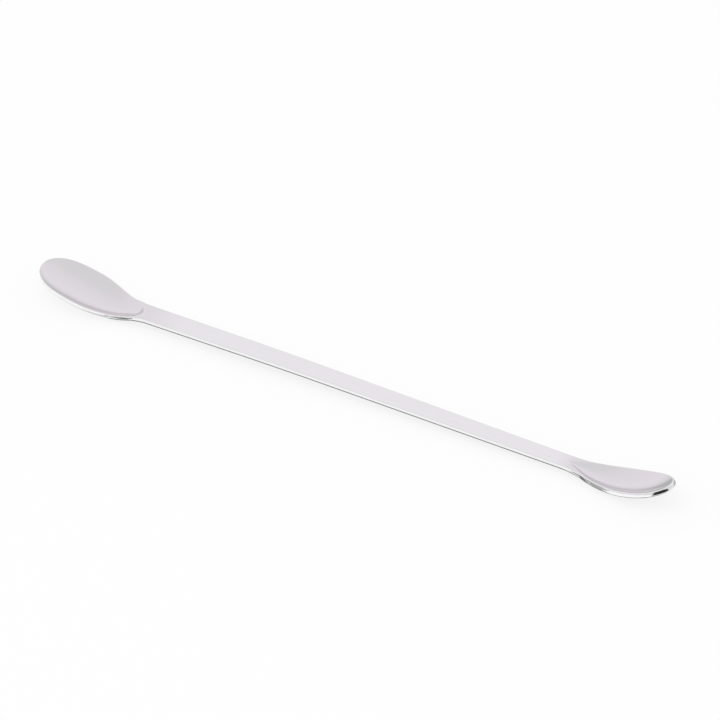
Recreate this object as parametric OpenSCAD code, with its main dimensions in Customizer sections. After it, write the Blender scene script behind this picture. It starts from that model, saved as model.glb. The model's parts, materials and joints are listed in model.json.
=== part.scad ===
// Double-ended lab spatula: one strip of stainless steel, pressed into a spoon at each end.
// X runs along the handle, with the large bowl at -X and the small bowl at +X.
// Y runs across, and the part is symmetric about the XZ plane. Z is up.
// The origin is on the bench, under the middle of the part. Both bowls rest on the bench.

/* [Strip] */
// Length over the rims, from tip to tip
rim_len = 199.4; // [170:0.2:260]
// Thickness of the strip, in the handle and in the bowls
strip_t = 1.4; // [1:0.1:2]
// Radius on the edges of the handle and round the rims
edge_r = 0.3; // [0.1:0.05:0.45]

/* [Handle] */
// Width of the handle where the large bowl begins
large_neck_w = 6.5; // [5:0.1:8]
// Width of the handle where the small bowl begins
small_neck_w = 5.3; // [4:0.1:7]
// Angle of the gentle bend that lowers the handle towards the large bowl
bow_angle = 1.15; // [0:0.05:3]
// Distance from the middle of the part to the middle of that bend
bow_at = 22; // [15:1:25]
// Length of that bend along the handle
bow_len = 24; // [10:1:30]

/* [Large bowl] */
// Width at the widest place
large_w = 15.2; // [12:0.2:20]
// Distance from the tip to the neck, where the handle begins
large_len = 35; // [30:0.5:40]
// Distance from the tip to the widest place
large_widest = 14.3; // [12:0.1:18]
// Power of the tip's outline, with 2 for an ellipse and more for a squarer tip
large_outline_power = 3; // [2:0.1:4]
// Depth of the hollow below the rim at the widest place
large_depth = 2.1; // [1:0.1:3]
// How fast the hollow gets shallower towards the tip, with 1 for as fast as it narrows
large_tip_power = 1.2; // [1:0.1:3]
// Distance from the neck to the end of the hollow
large_hollow_gap = 1.8; // [0:0.1:5]
// Half angle at which the hollow opens out from its end
large_hollow_angle = 60; // [15:1:80]
// Length over which the hollow's floor runs out to that end
large_runout = 2.5; // [1:0.5:10]
// Width over which the hollow's opening blends into the outline
large_blend_w = 2; // [0.5:0.5:3]
// Share of the sheet's slope that the rim's edge follows, with 0 for an upright edge
large_lean_share = 0; // [0:0.05:1]
// The same share where the neck meets the handle
large_neck_lean_share = 0.25; // [0:0.05:1]
// Drop of the rim through the neck
large_drop = 0.7; // [0:0.1:2]
// Angle at which the rim rises to the tip
large_rise_angle = 12.5; // [5:0.5:25]
// Distance from the tip to the middle of the bend that starts the rise
large_rise_at = 25; // [15:0.5:28]
// Length of that bend
large_rise_len = 6; // [2:0.5:20]

/* [Small bowl] */
// Width at the widest place
small_w = 11.2; // [8:0.2:14]
// Distance from the tip to the neck, where the handle begins
small_len = 33.8; // [28:0.2:40]
// Distance from the tip to the widest place
small_widest = 13; // [11:0.5:18]
// Power of the tip's outline, with 2 for an ellipse and more for a squarer tip
small_outline_power = 2.6; // [2:0.1:4]
// Depth of the hollow below the rim at the widest place
small_depth = 1.7; // [1:0.1:2.5]
// How fast the hollow gets shallower towards the tip, with 1 for as fast as it narrows
small_tip_power = 2; // [1:0.1:3]
// Distance from the neck to the pointed end of the hollow
small_hollow_gap = 1; // [0:0.1:5]
// Half angle at which the hollow opens out from that end
small_hollow_angle = 27; // [15:1:80]
// Length over which the hollow's floor runs out to that end
small_runout = 1.5; // [1:0.5:10]
// Width over which the hollow's opening blends into the outline
small_blend_w = 1; // [0.5:0.5:3]
// Share of the sheet's slope that the rim's edge follows, with 1 for an edge square to the sheet
small_lean_share = 1; // [0:0.05:1]
// The same share where the neck meets the handle
small_neck_lean_share = 0.6; // [0:0.05:1]
// Drop of the rim through the neck
small_drop = 0.4; // [0:0.1:2]
// Angle at which the rim rises to the tip
small_rise_angle = 25; // [10:0.5:35]
// Distance from the tip to the middle of the bend that makes the rise
small_rise_at = 13; // [8:0.5:20]
// Length of that bend
small_rise_len = 25; // [5:0.5:30]

/* [Necks] */
// Power of the hollow's floor across the necks, with 2 for the round floor of the bowls
neck_floor_power = 1.8; // [1.4:0.1:4]
// How fast the hollow gets shallower in the necks, with 1 for as fast as it narrows
neck_depth_power = 0.9; // [0.5:0.1:2]
// Length over which the rim drops in each neck
drop_len = 10; // [6:1:14]

/* [Hidden] */

// Facets: round each tip, along each neck, along the handle's bend, across a bowl, round an edge
tip_steps = 15;
neck_steps = 24;
bow_steps = 4;
across_steps = 18;
edge_steps = 3;
// Angle at which the outline starts from each tip's point, which leaves a narrow nose
nose_angle = 1;
// How far the sideways spacing crowds towards the rims, from 0 to 1
rim_crowding = 0.5;
// Distance over which the sheet's slope is measured
slope_step = 0.5;
// Widths below this count as nothing
least_w = 0.001;

// The two ends, each as [large, small]. An end's points are given by x, with the large end at x < 0.
bowl_w = [large_w, small_w];
bowl_len = [large_len, small_len];
widest = [large_widest, small_widest];
outline_power = [large_outline_power, small_outline_power];
depth = [large_depth, small_depth];
tip_power = [large_tip_power, small_tip_power];
hollow_len = [large_len - large_hollow_gap, small_len - small_hollow_gap];
hollow_angle = [large_hollow_angle, small_hollow_angle];
runout = [large_runout, small_runout];
blend_w = [large_blend_w, small_blend_w];
lean_share = [large_lean_share, small_lean_share];
neck_lean_share = [large_neck_lean_share, small_neck_lean_share];
drop = [large_drop, small_drop];
rise_angle = [large_rise_angle, small_rise_angle];
rise_at = [large_rise_at, small_rise_at];
rise_len = [large_rise_len, small_rise_len];
neck_x = [-rim_len / 2 + large_len, rim_len / 2 - small_len];

function end_of(x) = x < 0 ? 0 : 1;
function from_tip(x) = rim_len / 2 - abs(x);

// A smooth step from 0 to 1, a bend of a given length that turns a level line into a unit slope,
// and the smaller of two values with a rounded change between them
function ease(v) = (1 - cos(180 * min(max(v, 0), 1))) / 2;
function bend(d, len) = let (h = len / 2) d <= -h ? 0 : d >= h ? d : (d + h) ^ 2 / (2 * len);
function soft_min(a, b, w) = (a + b - sqrt((a - b) ^ 2 + w ^ 2)) / 2;

// Half width of the handle, tapering from neck to neck
function handle_half(x) =
    let (v = min(max((x - neck_x[0]) / (neck_x[1] - neck_x[0]), 0), 1))
    (large_neck_w + (small_neck_w - large_neck_w) * v) / 2;

// How far a place lies along its neck, from 0 at the widest place of the bowl to 1 at the handle
function neck_part(x) =
    let (e = end_of(x))
    ease((from_tip(x) - widest[e]) / (bowl_len[e] - widest[e]));

// Half width of the outline
function half_at(x) =
    let (e = end_of(x), s = from_tip(x), full = bowl_w[e] / 2)
    s < widest[e] ? full * sqrt(max(0, 1 - abs(1 - max(s, 0) / widest[e]) ^ outline_power[e]))
        : full + (handle_half(x) - full) * neck_part(x);

// Half width of the hollow: it follows the outline, and opens out from its end in the neck
function hollow_half(x) =
    let (e = end_of(x), opening = tan(hollow_angle[e]) * (hollow_len[e] - from_tip(x)))
    opening <= 0 ? 0 : max(0, soft_min(half_at(x), opening, min(blend_w[e], opening)));

// Depth of the hollow's floor below the rim
function floor_depth(x) =
    let (e = end_of(x), s = from_tip(x), share = hollow_half(x) / (bowl_w[e] / 2),
         power = s < widest[e] ? tip_power[e] : neck_depth_power)
    depth[e] * share ^ power * ease((hollow_len[e] - s) / runout[e]);

// Depth below the rim at any place. The floor is round across a bowl and nearer to a V across a neck.
function sunk(x, y) =
    let (a = hollow_half(x))
    a <= abs(y) ? 0 : floor_depth(x) * (1 - (abs(y) / a) ^ (2 + (neck_floor_power - 2) * neck_part(x)));

// Side profile of the rim, before the part is laid on the bench
function profile(x) =
    let (e = end_of(x), s = from_tip(x))
    tan(rise_angle[e]) * bend(rise_at[e] - s, rise_len[e])
        - drop[e] * ease((bowl_len[e] - s) / drop_len)
        - tan(bow_angle) * bend(-bow_at - x, bow_len);

// Places along the part: round the tips with equal steps of the outline's angle, along the necks,
// and at the ends and steps of the handle's bend. The straight stretch has no place in between.
function tip_x(e, i) =
    let (a = nose_angle + (90 - nose_angle) * i / tip_steps)
    rim_len / 2 - widest[e] * (1 - cos(a) ^ (2 / outline_power[e]));
function neck_part_x(e, i) = rim_len / 2 - widest[e] - (bowl_len[e] - widest[e]) * i / neck_steps;
function bow_x(i) = -bow_at - bow_len / 2 + bow_len * i / bow_steps;
large_places = [
    for (i = [0:tip_steps]) -tip_x(0, i),
    for (i = [1:neck_steps]) -neck_part_x(0, i)
];
small_places = [
    for (i = [neck_steps:-1:1]) neck_part_x(1, i),
    for (i = [tip_steps:-1:0]) tip_x(1, i)
];
places = concat(large_places, [for (i = [0:bow_steps]) bow_x(i)], small_places);

// Outline of the +Y side, from tip to tip, and the direction in which it faces at each place
outline = [for (x = places) [x, half_at(x)]];
function mirrored(p) = [p.x, -p.y];
last_place = len(places) - 1;
function facing(i) =
    let (before = i == 0 ? mirrored(outline[0]) : outline[i - 1],
         after = i == last_place ? mirrored(outline[i]) : outline[i + 1],
         along = (after - before) / norm(after - before))
    [-along.y, along.x];

// The top face before the part is laid on the bench
function top_z(x, y) = profile(x) - sunk(x, y);

// One point of the skin: out from the edge's start and below the top face, at a share across (-1 to 1).
// The edge's start is a place on the top face, and the two distances follow the sheet's own slope there.
function skin_point(i, out, across, below) =
    let (f = facing(i), x = outline[i].x - edge_r * f.x, half = outline[i].y - edge_r * f.y,
         nose = i == 0 || i == last_place, y = nose ? 0 : half * across,
         from_y = max(y - slope_step, -half), to_y = min(y + slope_step, half),
         inward = x - sign(x) * slope_step,
         slope_x = (top_z(x, y) - top_z(inward, y)) / (x - inward),
         slope_y = nose ? 0 : (top_z(x, to_y) - top_z(x, from_y)) / max(to_y - from_y, least_w),
         e = end_of(x), lean = lean_share[e] + (neck_lean_share[e] - lean_share[e]) * neck_part(x),
         up = unit([-slope_x * lean, -slope_y * lean, 1]),
         side = across < 0 ? -f.y : f.y,
         outward = unit([f.x, side, slope_x * f.x + slope_y * side]))
    [x, half * across, top_z(x, y)] + out * outward - below * up;
function unit(v) = v / norm(v);

// Shares across, crowded towards the rims, and the steps round an edge as [out, below]
shares = [for (j = [0:across_steps]) let (v = 2 * j / across_steps - 1)
    (1 - rim_crowding) * v + rim_crowding * sin(90 * v)];
edge = concat(
    [for (j = [1:edge_steps]) let (a = 90 * j / edge_steps) edge_r * [sin(a), 1 - cos(a)]],
    [for (j = [0:edge_steps - 1]) let (a = 90 * j / edge_steps)
        [edge_r * cos(a), strip_t - edge_r * (1 - sin(a))]]
);

// The section at one place: the top from -Y to +Y, the +Y edge, the underside back, the -Y edge
function section(i) = concat(
    [for (v = shares) skin_point(i, 0, v, 0)],
    [for (e = edge) skin_point(i, e[0], 1, e[1])],
    [for (v = shares) skin_point(i, 0, -v, strip_t)],
    [for (j = [len(edge) - 1:-1:0]) skin_point(i, edge[j][0], -1, edge[j][1])]
);

// How the part lies: tilted and lifted so that the underside of each bowl touches the bench,
// and moved so that the origin is midway between its two ends
keel = [for (i = [0:last_place]) skin_point(i, 0, 0, strip_t)];
function low_point(sign_x) =
    let (low = min([for (p = keel) if (p.x * sign_x > 0) p.z]))
    [for (p = keel) if (p.x * sign_x > 0 && p.z <= low) p][0];
bench_slope = (low_point(1).z - low_point(-1).z) / (low_point(1).x - low_point(-1).x);
bench_z = min([for (p = keel) p.z - bench_slope * p.x]);
middle = (max([for (p = section(last_place)) p.x]) + min([for (p = section(0)) p.x])) / 2;
function laid(p) = [p.x - middle, p.y, p.z - bench_slope * p.x - bench_z];

// Faces of a closed loft through equal sections, each split into triangles between two sections
function loft_faces(count, around) = [
    for (i = [0:count - 2], j = [0:around - 1])
        let (a = i * around + j, b = i * around + (j + 1) % around, c = b + around, d = a + around)
        each [[a, b, c], [a, c, d]]
];

// Faces that close a nose: one along the top row, one along the bottom row and strips in between.
// A section's points run on from the top row to the +Y edge, the bottom row and the -Y edge.
function nose_faces(row, steps) =
    let (around = 2 * (row + steps))
    concat(
        [concat([around - 1], [for (j = [0:row]) j])],
        [for (j = [0:steps - 2]) [around - j - 1, row + j, row + j + 1, around - j - 2]],
        [[for (j = [0:row]) row + steps - 1 + j, 2 * row + steps]]
    );
function turned(face) = [for (j = [len(face) - 1:-1:0]) face[j]];
function moved(face, by) = [for (k = face) k + by];

module spatula() {
    around = len(section(0));
    nose = nose_faces(len(shares), len(edge));
    color("gainsboro")
    polyhedron(
        points = [for (i = [0:last_place], p = section(i)) laid(p)],
        faces = concat(
            loft_faces(last_place + 1, around),
            [for (f = nose) turned(f)],
            [for (f = nose) moved(f, last_place * around)]
        ),
        convexity = 8
    );
}

spatula();
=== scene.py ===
"""Looks of a double-ended lab spatula.

It is one strip of polished stainless steel with a pressed spoon at each end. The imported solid
gives the place and the tilt. The visible strip is a finer loft of the same form, with a ground
edge all round, made by a node tree that takes each size as a named input. Sizes are in
millimetres up to the place where the tree turns them into metres.
"""
import json
import math

import bpy
from mathutils import Matrix, Vector


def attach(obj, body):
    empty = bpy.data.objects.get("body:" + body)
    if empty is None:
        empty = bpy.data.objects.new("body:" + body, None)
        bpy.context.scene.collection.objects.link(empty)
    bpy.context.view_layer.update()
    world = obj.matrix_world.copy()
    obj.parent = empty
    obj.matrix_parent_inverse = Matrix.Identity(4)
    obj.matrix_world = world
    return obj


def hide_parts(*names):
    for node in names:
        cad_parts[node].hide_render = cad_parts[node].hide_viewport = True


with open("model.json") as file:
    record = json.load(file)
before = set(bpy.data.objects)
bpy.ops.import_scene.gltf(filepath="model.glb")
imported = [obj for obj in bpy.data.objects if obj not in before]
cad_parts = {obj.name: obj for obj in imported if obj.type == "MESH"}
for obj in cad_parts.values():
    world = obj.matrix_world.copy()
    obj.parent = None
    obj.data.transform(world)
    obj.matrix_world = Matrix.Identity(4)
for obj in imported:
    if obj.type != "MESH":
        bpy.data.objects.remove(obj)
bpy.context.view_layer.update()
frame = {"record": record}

MM = 0.001
NODE = "spatula"
BODY = "root"

# The strip's sizes, in millimetres. A slope is a rise over a run. The rim length, and the large
# spoon's width and the small one's rise below, are a hair under the solid's, so that the finer
# mesh stays inside its box.
STRIP = {
    "rim length": 199.38,
    "strip thickness": 1.4,
    "edge radius": 0.3,
    "large neck width": 6.5,
    "small neck width": 5.3,
    "bow slope": math.tan(math.radians(1.15)),
    "bow place": 22.0,
    "bow length": 24.0,
    "drop length": 10.0,
    "neck flatness": 1.8,
    "neck power": 0.9,
}
# The sizes that each spoon has of its own, as (large, small). The finish end is how far the
# pressed finish reaches past the spoon, and the finish fade the length over which it goes.
SPOONS = {
    "width": (15.19, 11.2),
    "length": (35.0, 33.8),
    "widest place": (14.3, 13.0),
    "squareness": (3.0, 2.6),
    "depth": (2.1, 1.7),
    "edge lean": (0.0, 1.0),
    "neck edge lean": (0.25, 0.6),
    "floor flatness": (2.0, 2.0),
    "tip power": (1.2, 2.0),
    "hollow gap": (1.8, 1.0),
    "blend width": (2.0, 1.0),
    "opening slope": (math.tan(math.radians(60)), math.tan(math.radians(27))),
    "runout": (2.5, 1.5),
    "drop": (0.7, 0.4),
    "rise slope": (math.tan(math.radians(12.5)), math.tan(math.radians(24.98))),
    "rise place": (25.0, 13.0),
    "rise length": (6.0, 25.0),
    "finish end": (13.0, 3.0),
    "finish fade": (17.0, 7.0),
}
SPOON_NAMES = ("large", "small")
# Facets: round a tip, along a neck, along half the handle, across the strip, and round each of
# the edge's two curves
TIP_STEPS, NECK_STEPS, HANDLE_STEPS, ACROSS_STEPS, EDGE_STEPS = 56, 90, 24, 44, 5
RIM_CROWDING = 0.5  # how far the facets across the strip crowd towards its rims, from 0 to 1
SLOPE_STEP = 0.5  # mm, over which the sheet's slope is measured
WELD = 1e-7  # m between points that are joined
TINY = 1e-7  # keeps a divisor off 0


# ---------------------------------------------------------------- arithmetic in node trees

class Term:
    """A number in a node tree. Plain arithmetic on it adds the tree's Math nodes."""

    def __init__(self, socket):
        self.socket = socket

    def __add__(self, other):
        return math_node("ADD", self, other)

    def __sub__(self, other):
        return math_node("SUBTRACT", self, other)

    def __mul__(self, other):
        return math_node("MULTIPLY", self, other)

    def __truediv__(self, other):
        return math_node("DIVIDE", self, other)

    def __pow__(self, other):
        return math_node("POWER", self, other)

    def __radd__(self, other):
        return math_node("ADD", other, self)

    def __rsub__(self, other):
        return math_node("SUBTRACT", other, self)

    def __rtruediv__(self, other):
        return math_node("DIVIDE", other, self)

    def __neg__(self):
        return math_node("MULTIPLY", self, -1.0)

    def __abs__(self):
        return math_node("ABSOLUTE", self)


def feed(socket, value):
    """Links a term to a socket, or sets the socket to a plain number."""
    if isinstance(value, Term):
        socket.id_data.links.new(value.socket, socket)
    else:
        socket.default_value = value


def math_node(operation, *values):
    tree = next(v.socket.id_data for v in values if isinstance(v, Term))
    node = tree.nodes.new("ShaderNodeMath")
    node.operation = operation
    for socket, value in zip(node.inputs, values):
        feed(socket, value)
    return Term(node.outputs[0])


def smaller(a, b):
    return math_node("MINIMUM", a, b)


def larger(a, b):
    return math_node("MAXIMUM", a, b)


def between(value, low, high):
    return smaller(larger(value, low), high)


def root(a):
    return math_node("SQRT", a)


def sine(a):
    return math_node("SINE", a)


def cosine(a):
    return math_node("COSINE", a)


def below(a, b):
    """1 where a is less than b, otherwise 0."""
    return math_node("LESS_THAN", a, b)


def ease(v):
    """A smooth step from 0 to 1."""
    return (1.0 - cosine(between(v, 0.0, 1.0) * math.pi)) * 0.5


def bend(d, length):
    """A bend that turns a level line into a unit slope over a length round d = 0."""
    inside = between(d + length * 0.5, 0.0, length)
    return inside * inside / (length * 2.0) + larger(d - length * 0.5, 0.0)


def soft_min(a, b, w):
    """The smaller of two values, with a rounded change over w."""
    apart = a - b
    return (a + b - root(apart * apart + w * w)) * 0.5


def vector(x, y, z):
    tree = next(v.socket.id_data for v in (x, y, z) if isinstance(v, Term))
    node = tree.nodes.new("ShaderNodeCombineXYZ")
    for socket, value in zip(node.inputs, (x, y, z)):
        feed(socket, value)
    return Term(node.outputs[0])


def parts_of(v):
    node = v.socket.id_data.nodes.new("ShaderNodeSeparateXYZ")
    feed(node.inputs[0], v)
    return [Term(s) for s in node.outputs]


def vector_math(operation, *values, scale=None):
    tree = values[0].socket.id_data
    node = tree.nodes.new("ShaderNodeVectorMath")
    node.operation = operation
    for socket, value in zip(node.inputs, values):
        feed(socket, value)
    if scale is not None:
        feed(node.inputs["Scale"], scale)
    return Term(node.outputs[0])


def mix_colours(nodes, links, factor, a, b):
    """Two colours mixed, each a plain one or a socket."""
    mix = nodes.new("ShaderNodeMix")
    mix.data_type = "RGBA"
    links.new(factor, mix.inputs["Factor"])
    for value, socket in ((a, mix.inputs[6]), (b, mix.inputs[7])):
        if isinstance(value, bpy.types.NodeSocket):
            links.new(value, socket)
        else:
            socket.default_value = value
    return mix.outputs[2]


# ---------------------------------------------------------------- the strip's form

def new_tree(name, inputs, outputs, kind="GeometryNodeTree"):
    """A node tree with its sockets, as (tree, its input node's terms by name, its output node)."""
    tree = bpy.data.node_groups.new(name, kind)
    for in_out, sockets in (("INPUT", inputs), ("OUTPUT", outputs)):
        for socket_name, socket_type in sockets:
            tree.interface.new_socket(socket_name, in_out=in_out, socket_type=socket_type)
    source = tree.nodes.new("NodeGroupInput")
    given = {s.name: Term(s) for s in source.outputs if s.name}
    return tree, given, tree.nodes.new("NodeGroupOutput")


def size_names():
    return list(STRIP) + [f"{which} spoon {n}" for which in SPOON_NAMES for n in SPOONS]


def spoon_sizes(given, at_small):
    """Each of the spoons' sizes, for the spoon that a place belongs to: at_small is 0 or 1."""
    picked = {}
    for name in SPOONS:
        large, small = (given[f"{which} spoon {name}"] for which in SPOON_NAMES)
        picked[name] = large + (small - large) * at_small
    return picked


def neck_share(x, given):
    """How far along the handle x is, from 0 at the large neck to 1 at the small one."""
    half = given["rim length"] * 0.5
    start = given["large spoon length"] - half
    end = half - given["small spoon length"]
    return between((x - start) / (end - start), 0.0, 1.0)


def narrowing(x, s, spoon, given):
    """What the neck and the handle take off the spoon's half width."""
    large, small = given["large neck width"], given["small neck width"]
    handle = (large + (small - large) * neck_share(x, given)) * 0.5
    along = (s - spoon["widest place"]) / (spoon["length"] - spoon["widest place"])
    return (handle - spoon["width"] * 0.5) * ease(along)


def height_tree():
    """Height of the strip's top face at a place, before the part is laid on the bench."""
    names = [("along", "NodeSocketFloat"), ("across", "NodeSocketFloat")]
    names += [(n, "NodeSocketFloat") for n in size_names()]
    tree, given, out = new_tree("top face height", names, [("height", "NodeSocketFloat")])
    x, y = given["along"], abs(given["across"])
    spoon = spoon_sizes(given, 1.0 - below(x, 0.0))
    s = given["rim length"] * 0.5 - abs(x)
    full, widest = spoon["width"] * 0.5, spoon["widest place"]

    # The hollow follows the outline, and opens out from its end in the neck
    off = abs(1.0 - between(s, 0.0, widest) / widest)
    inside = (full * root(larger(1.0 - off ** spoon["squareness"], 0.0))
              + narrowing(x, s, spoon, given))
    to_end = spoon["length"] - spoon["hollow gap"] - s
    opening = larger(spoon["opening slope"] * to_end, 0.0)
    half = larger(soft_min(inside, opening, smaller(spoon["blend width"], opening)), 0.0)

    # The floor, round across a spoon and flatter across a neck
    power = given["neck power"] + (spoon["tip power"] - given["neck power"]) * below(s, widest)
    floor = spoon["depth"] * (half / full) ** power * ease(to_end / spoon["runout"])
    neck = ease((s - widest) / (spoon["length"] - widest))
    flatness = (spoon["floor flatness"]
                + (given["neck flatness"] - spoon["floor flatness"]) * neck)
    sunk = floor * (1.0 - smaller(y / larger(half, TINY), 1.0) ** flatness)

    profile = (spoon["rise slope"] * bend(spoon["rise place"] - s, spoon["rise length"])
               - spoon["drop"] * ease((spoon["length"] - s) / given["drop length"])
               - given["bow slope"] * bend(-given["bow place"] - x, given["bow length"]))
    feed(out.inputs["height"], profile - sunk)
    return tree


def passed_on(kind, geometry, **values):
    """A geometry's result from one more node, with the node's named inputs set."""
    tree = geometry.id_data
    node = tree.nodes.new(kind)
    tree.links.new(geometry, node.inputs[0])
    for name, value in values.items():
        feed(node.inputs[name], value)
    return node.outputs[0]


def strip_tree(heights):
    """The whole strip, as one closed loft from tip to tip."""
    names = [(n, "NodeSocketFloat") for n in size_names()]
    names += [("bench slope", "NodeSocketFloat"), ("bench height", "NodeSocketFloat"),
              ("steel", "NodeSocketMaterial")]
    tree, given, out = new_tree("pressed strip", names, [("strip", "NodeSocketGeometry")])
    edge_facets = 2 * EDGE_STEPS + 1
    rows = 2 * (ACROSS_STEPS + edge_facets) + 1  # points once round a section, back to the first
    last = 2 * (TIP_STEPS + NECK_STEPS + HANDLE_STEPS)

    grid = tree.nodes.new("GeometryNodeMeshGrid")
    grid.inputs["Vertices X"].default_value = last + 1
    grid.inputs["Vertices Y"].default_value = rows
    index = Term(tree.nodes.new("GeometryNodeInputIndex").outputs[0])
    station = math_node("FLOOR", (index + 0.5) / rows)
    place = index - station * rows

    # Places along the strip: equal steps of the outline's angle round the tips, then the necks
    # and the handle
    at_small = 1.0 - below(station, last / 2)
    spoon = spoon_sizes(given, at_small)
    side = at_small * 2.0 - 1.0
    step = smaller(station, last - station)
    turn = smaller(step / TIP_STEPS, 1.0) * (math.pi / 2)
    widest, length = spoon["widest place"], spoon["length"]
    s = (widest * (1.0 - larger(cosine(turn), 0.0) ** (2.0 / spoon["squareness"]))
         + (length - widest) * between((step - TIP_STEPS) / NECK_STEPS, 0.0, 1.0)
         + (given["rim length"] * 0.5 - length)
         * between((step - TIP_STEPS - NECK_STEPS) / HANDLE_STEPS, 0.0, 1.0))
    x = (given["rim length"] * 0.5 - s) * side
    half = spoon["width"] * 0.5 * sine(turn) + narrowing(x, s, spoon, given)

    # The way the outline faces, from the stations before and after
    outline = vector(x, half, 0.0)

    def neighbour(step_by):
        wanted = station + step_by
        folded = last - abs(last - abs(wanted))
        beyond = below(wanted, 0.0) + below(float(last), wanted)
        at = tree.nodes.new("GeometryNodeFieldAtIndex")
        at.data_type = "FLOAT_VECTOR"
        feed(at.inputs["Index"], folded * rows)
        tree.links.new(outline.socket, at.inputs["Value"])
        mirrored = vector(1.0, 1.0 - beyond * 2.0, 1.0)
        return vector_math("MULTIPLY", Term(at.outputs[0]), mirrored)

    ahead = vector_math("SUBTRACT", neighbour(1.0), neighbour(-1.0))
    ahead_x, ahead_y, _ = parts_of(vector_math("NORMALIZE", ahead))
    facing_x, facing_y = -ahead_y, ahead_x

    # The section, once round: the top face from -Y to +Y, the +Y edge, the underside back, the
    # -Y edge
    top = between(place / ACROSS_STEPS, 0.0, 1.0)
    edge_end = ACROSS_STEPS + edge_facets
    bottom = between((place - edge_end) / ACROSS_STEPS, 0.0, 1.0)
    round_edge = (between(place - ACROSS_STEPS, 0.0, edge_facets)
                  - between(place - edge_end - ACROSS_STEPS, 0.0, edge_facets))
    share = (top - bottom) * 2.0 - 1.0
    share = share * (1.0 - RIM_CROWDING) + sine(share * (math.pi / 2)) * RIM_CROWDING
    upper = between(round_edge / EDGE_STEPS, 0.0, 1.0) * (math.pi / 2)
    lower = between((round_edge - EDGE_STEPS - 1) / EDGE_STEPS, 0.0, 1.0) * (math.pi / 2)
    radius, thick = given["edge radius"], given["strip thickness"]
    out_by = radius * (sine(upper) + cosine(lower) - 1.0)
    down_by = (radius * (1.0 - cosine(upper)) + radius * sine(lower)
               + (thick - radius * 2.0) * between(round_edge - EDGE_STEPS, 0.0, 1.0))

    # A place on the top face, the face's two slopes there, and the strip's own outward and
    # upward directions
    base_x = x - radius * facing_x
    edge_y = half - radius * facing_y
    base_y = edge_y * share

    def height(at_x, at_y):
        group = tree.nodes.new("GeometryNodeGroup")
        group.node_tree = heights
        feed(group.inputs["along"], at_x)
        feed(group.inputs["across"], at_y)
        for n in size_names():
            feed(group.inputs[n], given[n])
        unlaid = Term(group.outputs[0])
        return unlaid + given["bench slope"] * at_x + given["bench height"]

    base_z = height(base_x, base_y)
    inward = base_x - side * SLOPE_STEP
    slope_x = (base_z - height(inward, base_y)) / (side * SLOPE_STEP)
    from_y = larger(base_y - SLOPE_STEP, -edge_y)
    to_y = smaller(base_y + SLOPE_STEP, edge_y)
    slope_y = (height(base_x, to_y) - height(base_x, from_y)) / larger(to_y - from_y, TINY)
    neck = ease((s - widest) / (length - widest))
    lean = spoon["edge lean"] + (spoon["neck edge lean"] - spoon["edge lean"]) * neck
    up = vector_math("NORMALIZE", vector(-slope_x * lean, -slope_y * lean, 1.0))
    face_y = facing_y * (1.0 - below(share, 0.0) * 2.0)
    outward = vector(facing_x, face_y, slope_x * facing_x + slope_y * face_y)
    outward = vector_math("NORMALIZE", outward)
    point = vector_math("ADD", vector(base_x, base_y, base_z),
                        vector_math("SUBTRACT", vector_math("SCALE", outward, scale=out_by),
                                    vector_math("SCALE", up, scale=down_by)))

    at_edge = sine(between(round_edge / edge_facets, 0.0, 1.0) * math.pi)
    pressed = ease((length + spoon["finish end"] - s) / spoon["finish fade"])
    form = passed_on("GeometryNodeSetPosition", grid.outputs["Mesh"],
                     Position=vector_math("SCALE", point, scale=MM))
    for name, value in (("edge", at_edge), ("pressed", pressed)):
        form = passed_on("GeometryNodeStoreNamedAttribute", form, Name=name, Value=value)
    form = passed_on("GeometryNodeMergeByDistance", form, Distance=WELD)
    form = passed_on("GeometryNodeFlipFaces", form)
    form = passed_on("GeometryNodeSetShadeSmooth", form)
    form = passed_on("GeometryNodeRealizeInstances", form)
    form = passed_on("GeometryNodeSetMaterial", form, Material=given["steel"])
    tree.links.new(form, out.inputs["strip"])
    return tree


def handle_line():
    """The handle top's slope, and its height at the middle in millimetres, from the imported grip."""
    grip = next(m for m in frame["record"]["mounts"] if m["name"] == "grip_top")
    slope = -grip["axis"][0] / grip["axis"][2]
    return slope, (grip["pos_m"][2] - slope * grip["pos_m"][0]) / MM


def make_strip(steel):
    """The visible strip, centred on the solid's middle along the slope that the handle lies at."""
    tree = strip_tree(height_tree())
    slope, height = handle_line()
    values = dict(STRIP)
    for name, pair in SPOONS.items():
        for which, value in zip(SPOON_NAMES, pair):
            values[f"{which} spoon {name}"] = value
    values.update({"bench slope": slope, "bench height": height, "steel": steel})
    base = bpy.data.objects.new("strip", bpy.data.meshes.new("strip"))
    bpy.context.scene.collection.objects.link(base)
    modifier = base.modifiers.new("form", "NODES")
    modifier.node_group = tree
    for item in tree.interface.items_tree:
        if item.in_out == "INPUT":
            modifier[item.identifier] = values[item.name]
    evaluated = base.evaluated_get(bpy.context.evaluated_depsgraph_get())
    base.data = bpy.data.meshes.new_from_object(evaluated)
    base.modifiers.clear()
    ends = [v.co.x for v in base.data.vertices]
    middle = (min(ends) + max(ends)) / 2
    base.data.transform(Matrix.Translation((-middle, 0.0, -slope * middle)))
    return base


# ---------------------------------------------------------------- steel

STEEL_COLOUR = (0.79, 0.79, 0.80, 1.0)
PRESSED_COLOUR = (0.71, 0.69, 0.71, 1.0)  # on the spoons' faces, where the wheel polishes less
LINE_COLOUR = (0.70, 0.695, 0.71, 1.0)  # in the deeper lines that the wheel leaves
WORN_COLOUR = (0.84, 0.84, 0.85, 1.0)  # along the rubbed edges
SCRATCH_COLOUR = (0.66, 0.65, 0.665, 1.0)
# How much of these colours shows where their marks are full
LINE_SHARE, WORN_SHARE, SCRATCH_SHARE = 0.35, 0.6, 0.7

PLAIN_ROUGHNESS = 0.07
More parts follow.
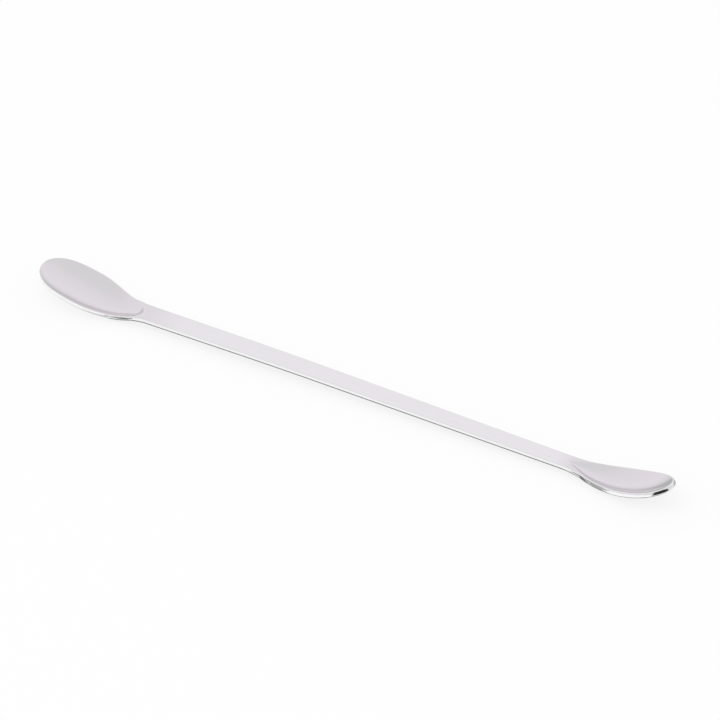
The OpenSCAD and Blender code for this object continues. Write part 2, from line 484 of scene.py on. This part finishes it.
# What these add to it
HAZE_ROUGHNESS, PRESSED_ROUGHNESS, SCRATCH_ROUGHNESS, WORN_ROUGHNESS = 0.05, 0.01, 0.12, 0.05

MICRON = 0.001  # mm
LINE_HEIGHT, WAVE_HEIGHT, SCRATCH_DEPTH = 0.35, 2.5, 1.0  # microns

# Lengths and spacings in millimetres and angles in radians. Least is the noise, from 0 to 1, at
# which a mark begins.
POLISH_LINES = {"Length": 9.0, "Spacing": 0.12}
PRESS_WAVE = {"Size": 5.0, "Detail": 0.0}
HAZE = {"Size": 11.0, "Detail": 3.0}
SCRATCHES_ALONG = {"Angle": math.radians(4.0), "Length": 14.0, "Spacing": 0.16, "Least": 0.72}
SCRATCHES_ACROSS = {"Angle": math.radians(-38.0), "Length": 7.0, "Spacing": 0.14, "Least": 0.74}
RUBBED_PATCHES = {"Patch": 3.0, "Least": 0.42}
LINE_DETAIL, SCRATCH_DETAIL, PATCH_DETAIL, PATCH_GRAIN = 2.0, 1.0, 3.0, 0.6
# The noise from where a mark begins to where it is full
SCRATCH_SOFTNESS, PATCH_SOFTNESS = 0.06, 0.2
DEEP_LINES = (0.40, 0.72)  # the lines' noise at which their colour begins and is full
PRESSED_LIMIT = (0.05, 0.4)  # the edge mask at which the pressed finish starts to go and is gone


def noise(place, detail, roughness=0.5):
    """Blender's noise at a place, from 0 to 1."""
    node = place.socket.id_data.nodes.new("ShaderNodeTexNoise")
    feed(node.inputs["Vector"], place)
    node.inputs["Scale"].default_value = 1.0
    feed(node.inputs["Detail"], detail)
    node.inputs["Roughness"].default_value = roughness
    return Term(node.outputs[0])


def smooth_share(value, low, high):
    """A smooth step from 0 at low to 1 at high."""
    tree = value.socket.id_data
    node = tree.nodes.new("ShaderNodeMapRange")
    node.interpolation_type = "SMOOTHSTEP"
    for name, given in (("Value", value), ("From Min", low), ("From Max", high)):
        feed(node.inputs[name], given)
    return Term(node.outputs[0])


def shader_group(name, sizes, result):
    """A shader group that takes a place in millimetres and named sizes."""
    names = [("Place", "NodeSocketVector")] + [(n, "NodeSocketFloat") for n in sizes]
    return new_tree(name, names, [(result, "NodeSocketFloat")], "ShaderNodeTree")


def polish_lines():
    """Fine lines that a polishing wheel leaves along the strip."""
    tree, given, out = shader_group("polish lines", ("Length", "Spacing"), "Height")
    x, y, z = parts_of(given["Place"])
    length, spacing = given["Length"], given["Spacing"]
    feed(out.inputs[0], noise(vector(x / length, y / spacing, z / spacing), LINE_DETAIL))
    return tree


def broad_waves():
    """Slow changes over the sheet, such as its waviness from the press or the haze of handling."""
    tree, given, out = shader_group("broad waves", ("Size", "Detail"), "Wave")
    spread = vector_math("SCALE", given["Place"], scale=1.0 / given["Size"])
    feed(out.inputs[0], noise(spread, given["Detail"]))
    return tree


def hairlines():
    """Sparse fine scratches in one direction across the sheet."""
    sizes = ("Angle", "Length", "Spacing", "Least")
    tree, given, out = shader_group("hairline scratches", sizes, "Mask")
    x, y, _ = parts_of(given["Place"])
    turned_x = x * cosine(given["Angle"]) + y * sine(given["Angle"])
    turned_y = y * cosine(given["Angle"]) - x * sine(given["Angle"])
    streak = noise(vector(turned_x / given["Length"], turned_y / given["Spacing"], 0.0),
                   SCRATCH_DETAIL)
    least = given["Least"]
    feed(out.inputs[0], smooth_share(streak, least, least + SCRATCH_SOFTNESS))
    return tree


def rubbed_edges():
    """Patches along the edge that use has rubbed brighter."""
    tree, given, out = shader_group("rubbed edges", ("Edge", "Patch", "Least"), "Mask")
    spread = vector_math("SCALE", given["Place"], scale=1.0 / given["Patch"])
    patches = noise(spread, PATCH_DETAIL, PATCH_GRAIN)
    least = given["Least"]
    feed(out.inputs[0], given["Edge"] * smooth_share(patches, least, least + PATCH_SOFTNESS))
    return tree


def placed(tree, group, **values):
    """One group placed in a material with its own values, and its result."""
    node = tree.nodes.new("ShaderNodeGroup")
    node.node_tree = group
    for name, value in values.items():
        feed(node.inputs[name], value)
    return Term(node.outputs[0])


def attribute(tree, name):
    node = tree.nodes.new("ShaderNodeAttribute")
    node.attribute_name = name
    return Term(node.outputs["Fac"])


def polished_steel():
    """Stainless steel, polished bright along its length, and greyer in the pressed spoons."""
    material = bpy.data.materials.new("polished steel")
    material.use_nodes = True
    tree = material.node_tree
    shader = tree.nodes["Principled BSDF"]
    shader.inputs["Metallic"].default_value = 1.0
    coordinates = tree.nodes.new("ShaderNodeTexCoord")
    place = vector_math("SCALE", Term(coordinates.outputs["Object"]), scale=1.0 / MM)
    edge = attribute(tree, "edge")
    pressed = attribute(tree, "pressed") * (1.0 - smooth_share(edge, *PRESSED_LIMIT))
    lines = placed(tree, polish_lines(), Place=place, **POLISH_LINES)
    waves, scratches = broad_waves(), hairlines()
    press_wave = placed(tree, waves, Place=place, **PRESS_WAVE)
    haze = placed(tree, waves, Place=place, **HAZE)
    along = placed(tree, scratches, Place=place, **SCRATCHES_ALONG)
    across = placed(tree, scratches, Place=place, **SCRATCHES_ACROSS)
    scratched = larger(along, across * pressed)
    rubbed = placed(tree, rubbed_edges(), Place=place, Edge=edge, **RUBBED_PATCHES)

    colour = STEEL_COLOUR
    for share, other in ((pressed, PRESSED_COLOUR),
                         (smooth_share(lines, *DEEP_LINES) * LINE_SHARE, LINE_COLOUR),
                         (rubbed * WORN_SHARE, WORN_COLOUR),
                         (scratched * SCRATCH_SHARE, SCRATCH_COLOUR)):
        colour = mix_colours(tree.nodes, tree.links, share.socket, colour, other)
    tree.links.new(colour, shader.inputs["Base Color"])
    feed(shader.inputs["Roughness"],
         PLAIN_ROUGHNESS + haze * HAZE_ROUGHNESS + pressed * PRESSED_ROUGHNESS
         + scratched * SCRATCH_ROUGHNESS + rubbed * WORN_ROUGHNESS)
    bump = tree.nodes.new("ShaderNodeBump")
    bump.inputs["Distance"].default_value = MICRON * MM
    feed(bump.inputs["Height"],
         lines * LINE_HEIGHT + press_wave * WAVE_HEIGHT - scratched * SCRATCH_DEPTH)
    tree.links.new(bump.outputs[0], shader.inputs["Normal"])
    return material


# ---------------------------------------------------------------- stage

WHITE = (1.0, 1.0, 1.0, 1.0)
MAUVE = (1.0, 0.967, 0.998, 1.0)

VIEW_AZIMUTH, VIEW_ELEVATION = 28.6, 40.0  # degrees
VIEW_WIDTH = 0.2000  # m across the view at the part
LENS, SENSOR = 1500.0, 36.0  # mm
AIM = (0.00091, 0.00697)  # m from the handle's middle, to the right and up in the view
FARTHEST = 100.0  # m that the camera sees

# Tones that the metal sees, by the sine of the elevation, on the camera's side and on the far
# side. A third value is a tint.
FRONT_TONES = ((-1.0, 0.03), (-0.74, 0.03), (-0.67, 1.1), (-0.60, 1.15), (0.18, 1.2),
               (0.25, 0.84), (0.50, 0.88), (0.85, 0.94), (1.0, 0.91))
BACK_TONES = ((-1.0, 0.05), (-0.72, 0.55), (0.02, 0.60), (0.12, 0.85), (0.25, 1.0, MAUVE),
              (0.40, 1.05, MAUVE), (0.86, 1.0, MAUVE), (1.0, 0.91))
FRONT_CHANGE = 0.15  # sine of the half width of the change between the two sides
AMBIENT = (0.9, 0.9, 0.9, 1.0)

FLOOR_SIDE = 20.0  # m
FLOOR_COLOUR = (0.95, 0.95, 0.95, 1.0)
FLOOR_GLOW = 0.8  # how much of the floor the camera sees as plain white

# Cards that only the metal sees: the place they stand round and how far from it, in metres;
# azimuth, half width, and elevations of foot and top, in degrees; and tone
MIDDLE, SMALL_TIP = (0.0, 0.0, 0.0), (0.096, -0.003, 0.007)
CARDS = {
    "dark_card": (SMALL_TIP, 0.02, VIEW_AZIMUTH + 7.0, 36.0, 0.0, 29.0, 0.01),
    "neck_card": (MIDDLE, 1.0, -0.5, 5.5, -34.0, -21.0, 0.2),
    "small_neck_card": (MIDDLE, 1.0, -50.0, 14.5, -39.5, -10.0, 0.27),
    "small_spoon_card": (MIDDLE, 1.0, -51.0, 13.0, -8.0, 12.0, 0.5),
}
# The sheet glows, as a painted reflection of the lit floor, which the metal itself doesn't see
PAINTED_FLOOR_SHEET = (-0.150, -0.076, -0.050, 0.030, 1.15)  # left, right, front and back in m, and tone
# The oval glows darker than the sheet: a painted reflection of the floor's shadow under the large
# spoon
PAINTED_SHADOW_OVAL = (-0.084, 0.0204, 0.0109, 0.75)  # middle, half length and half width in m, and tone
OVAL_STEPS = 48
SHEET_GAP = 0.0002  # m from the floor down to the oval, and from the oval down to the sheet
# Azimuth and elevation in degrees, distance and two sides in metres, and the face's brightness
SOFT_BOX = (-35.0, 60.0, 1.5, 1.0, 1.0, 1.0)


def direction(azimuth, elevation):
    """The way to a place on the sky, with azimuth 0 at -Y and 90 at +X."""
    a, e = math.radians(azimuth), math.radians(elevation)
    return Vector((math.sin(a) * math.cos(e), -math.cos(a) * math.cos(e), math.sin(e)))


def make_camera():
    """A long lens, so that the view is almost parallel."""
    back = direction(VIEW_AZIMUTH, VIEW_ELEVATION)
    azimuth = math.radians(VIEW_AZIMUTH)
    right = Vector((math.cos(azimuth), math.sin(azimuth), 0.0))
    up = back.cross(right)
    middle = Vector((0.0, 0.0, handle_line()[1] * MM))
    camera = bpy.data.objects.new("camera", bpy.data.cameras.new("camera"))
    bpy.context.scene.collection.objects.link(camera)
    camera.data.lens, camera.data.sensor_width = LENS, SENSOR
    camera.data.clip_end = FARTHEST
    distance = VIEW_WIDTH * LENS / SENSOR
    camera.location = middle + right * AIM[0] + up * AIM[1] + back * distance
    camera.rotation_mode = "QUATERNION"
    camera.rotation_quaternion = (-back).to_track_quat("-Z", "Y")
    bpy.context.scene.camera = camera


def tone_ramp(nodes, links, sine_of_elevation, tones):
    """A ramp of tones, some of them tinted, over the sine of the elevation, from -1 to 1."""
    place = nodes.new("ShaderNodeMapRange")
    place.inputs["From Min"].default_value = -1.0
    links.new(sine_of_elevation, place.inputs["Value"])
    node = nodes.new("ShaderNodeValToRGB")
    links.new(place.outputs[0], node.inputs[0])
    steps = node.color_ramp.elements
    while len(steps) < len(tones):
        steps.new(0.5)
    for step, (sine_at, tone, *tint) in zip(steps, tones):
        step.position = (sine_at + 1.0) / 2.0
        step.color = [tone * channel for channel in (tint or [WHITE])[0]]
    return node.outputs[0]


def make_world():
    """White to the camera, a plain soft light on everything, and a studio's tones in the metal."""
    world = bpy.data.worlds.new("studio")
    bpy.context.scene.world = world
    world.use_nodes = True
    nodes, links = world.node_tree.nodes, world.node_tree.links
    coordinates = nodes.new("ShaderNodeTexCoord")
    split = nodes.new("ShaderNodeSeparateXYZ")
    links.new(coordinates.outputs["Generated"], split.inputs[0])
    front = nodes.new("ShaderNodeVectorMath")
    front.operation = "DOT_PRODUCT"
    links.new(coordinates.outputs["Generated"], front.inputs[0])
    front.inputs[1].default_value = direction(VIEW_AZIMUTH, 0.0)
    is_front = nodes.new("ShaderNodeMapRange")
    is_front.interpolation_type = "SMOOTHSTEP"
    is_front.inputs["From Min"].default_value = -FRONT_CHANGE
    is_front.inputs["From Max"].default_value = FRONT_CHANGE
    links.new(front.outputs["Value"], is_front.inputs["Value"])
    tones = mix_colours(nodes, links, is_front.outputs[0],
                        tone_ramp(nodes, links, split.outputs["Z"], BACK_TONES),
                        tone_ramp(nodes, links, split.outputs["Z"], FRONT_TONES))
    path = nodes.new("ShaderNodeLightPath")
    seen = mix_colours(nodes, links, path.outputs["Is Glossy Ray"], AMBIENT, tones)
    seen = mix_colours(nodes, links, path.outputs["Is Camera Ray"], seen, WHITE)
    links.new(seen, nodes["Background"].inputs["Color"])


def matt(name, tone):
    """A plain grey that doesn't shine."""
    material = bpy.data.materials.new(name)
    material.use_nodes = True
    shader = material.node_tree.nodes["Principled BSDF"]
    shader.inputs["Base Color"].default_value = (tone, tone, tone, 1.0)
    shader.inputs["Roughness"].default_value = 1.0
    return material


def glowing(name, tone):
    """A plain tone of its own, whatever light falls on it."""
    material = bpy.data.materials.new(name)
    material.use_nodes = True
    nodes, links = material.node_tree.nodes, material.node_tree.links
    nodes.remove(nodes["Principled BSDF"])
    glow = nodes.new("ShaderNodeEmission")
    glow.inputs["Strength"].default_value = tone
    links.new(glow.outputs[0], nodes["Material Output"].inputs["Surface"])
    return material


def floor_white():
    """White to the camera, apart from the share that keeps the light and shadow on it."""
    material = glowing("floor", 1.0)
    nodes, links = material.node_tree.nodes, material.node_tree.links
    diffuse = nodes.new("ShaderNodeBsdfDiffuse")
    diffuse.inputs["Color"].default_value = FLOOR_COLOUR
    path = nodes.new("ShaderNodeLightPath")
    share = math_node("MULTIPLY", Term(path.outputs["Is Camera Ray"]), FLOOR_GLOW)
    mix = nodes.new("ShaderNodeMixShader")
    feed(mix.inputs[0], share)
    links.new(diffuse.outputs[0], mix.inputs[1])
    links.new(nodes["Emission"].outputs[0], mix.inputs[2])
    links.new(mix.outputs[0], nodes["Material Output"].inputs["Surface"])
    return material


def sheet_object(name, corners, material):
    """A flat stage piece with these corners."""
    mesh = bpy.data.meshes.new(name)
    mesh.from_pydata(corners, [], [tuple(range(len(corners)))])
    mesh.materials.append(material)
    piece = bpy.data.objects.new(name, mesh)
    bpy.context.scene.collection.objects.link(piece)
    return piece


def rectangle(left, right, front, back, height):
    """The corners of a level rectangle."""
    return [(left, front, height), (right, front, height), (right, back, height),
            (left, back, height)]


def metal_only(name, corners, material):
    """A flat stage piece that shows only in the metal."""
    piece = sheet_object(name, corners, material)
    piece.visible_camera = piece.visible_diffuse = piece.visible_shadow = False


def make_floor():
    """A pale floor that shows as white and keeps a soft part of the shadow."""
    half = FLOOR_SIDE / 2
    floor = sheet_object("floor", rectangle(-half, half, -half, half, 0.0), floor_white())
    floor.visible_glossy = False


def make_cards():
    """Upright cards round the part."""
    for name, (place, distance, azimuth, half_width, foot, top, tone) in CARDS.items():
        middle = Vector(place) + direction(azimuth, 0.0) * distance
        side = direction(azimuth + 90.0, 0.0) * distance * math.tan(math.radians(half_width))
        low, high = (Vector((0.0, 0.0, distance * math.tan(math.radians(e))))
                     for e in (foot, top))
        corners = [middle - side + low, middle + side + low,
                   middle + side + high, middle - side + high]
        metal_only(name, corners, matt(name, tone))


def make_painted_floor_reflections():
    """Pale sheets just under the floor's face, round the large spoon, that glow and show only in the
    metal: the sheet is a painted reflection of the lit floor, and the darker oval a painted
    reflection of the floor's shadow under the spoon.
    """
    left, right, front, back, tone = PAINTED_FLOOR_SHEET
    # a glowing sheet: painted reflection of the lit floor
    metal_only("pale_sheet", rectangle(left, right, front, back, -2 * SHEET_GAP),
               glowing("pale_sheet", tone))
    # a darker glowing oval: painted shadow in the reflection, where the floor is shaded under the
    # large spoon
    middle, half_length, half_width, tone = PAINTED_SHADOW_OVAL
    turns = [2 * math.pi * i / OVAL_STEPS for i in range(OVAL_STEPS)]
    corners = [(min(middle + half_length * math.cos(t), right), half_width * math.sin(t),
                -SHEET_GAP) for t in turns]
    metal_only("painted_shadow_oval", corners, glowing("painted_shadow_oval", tone))


def make_soft_box():
    """The one lamp, a large soft face that the camera and the metal don't see."""
    azimuth, elevation, distance, width, height, brightness = SOFT_BOX
    lamp = bpy.data.lights.new("soft box", "AREA")
    lamp.shape = "RECTANGLE"
    lamp.size, lamp.size_y = width, height
    # A face's brightness is its power over pi times its area
    lamp.energy = brightness * math.pi * width * height
    box = bpy.data.objects.new(lamp.name, lamp)
    bpy.context.scene.collection.objects.link(box)
    box.location = direction(azimuth, elevation) * distance
    box.rotation_mode = "QUATERNION"
    box.rotation_quaternion = direction(azimuth, elevation).to_track_quat("Z", "Y")
    box.visible_camera = box.visible_glossy = False


steel = polished_steel()
strip = make_strip(steel)
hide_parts(NODE)
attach(strip, BODY)
make_camera()
make_world()
make_floor()
make_cards()
make_painted_floor_reflections()
make_soft_box()
bpy.context.scene.view_settings.view_transform = "Standard"
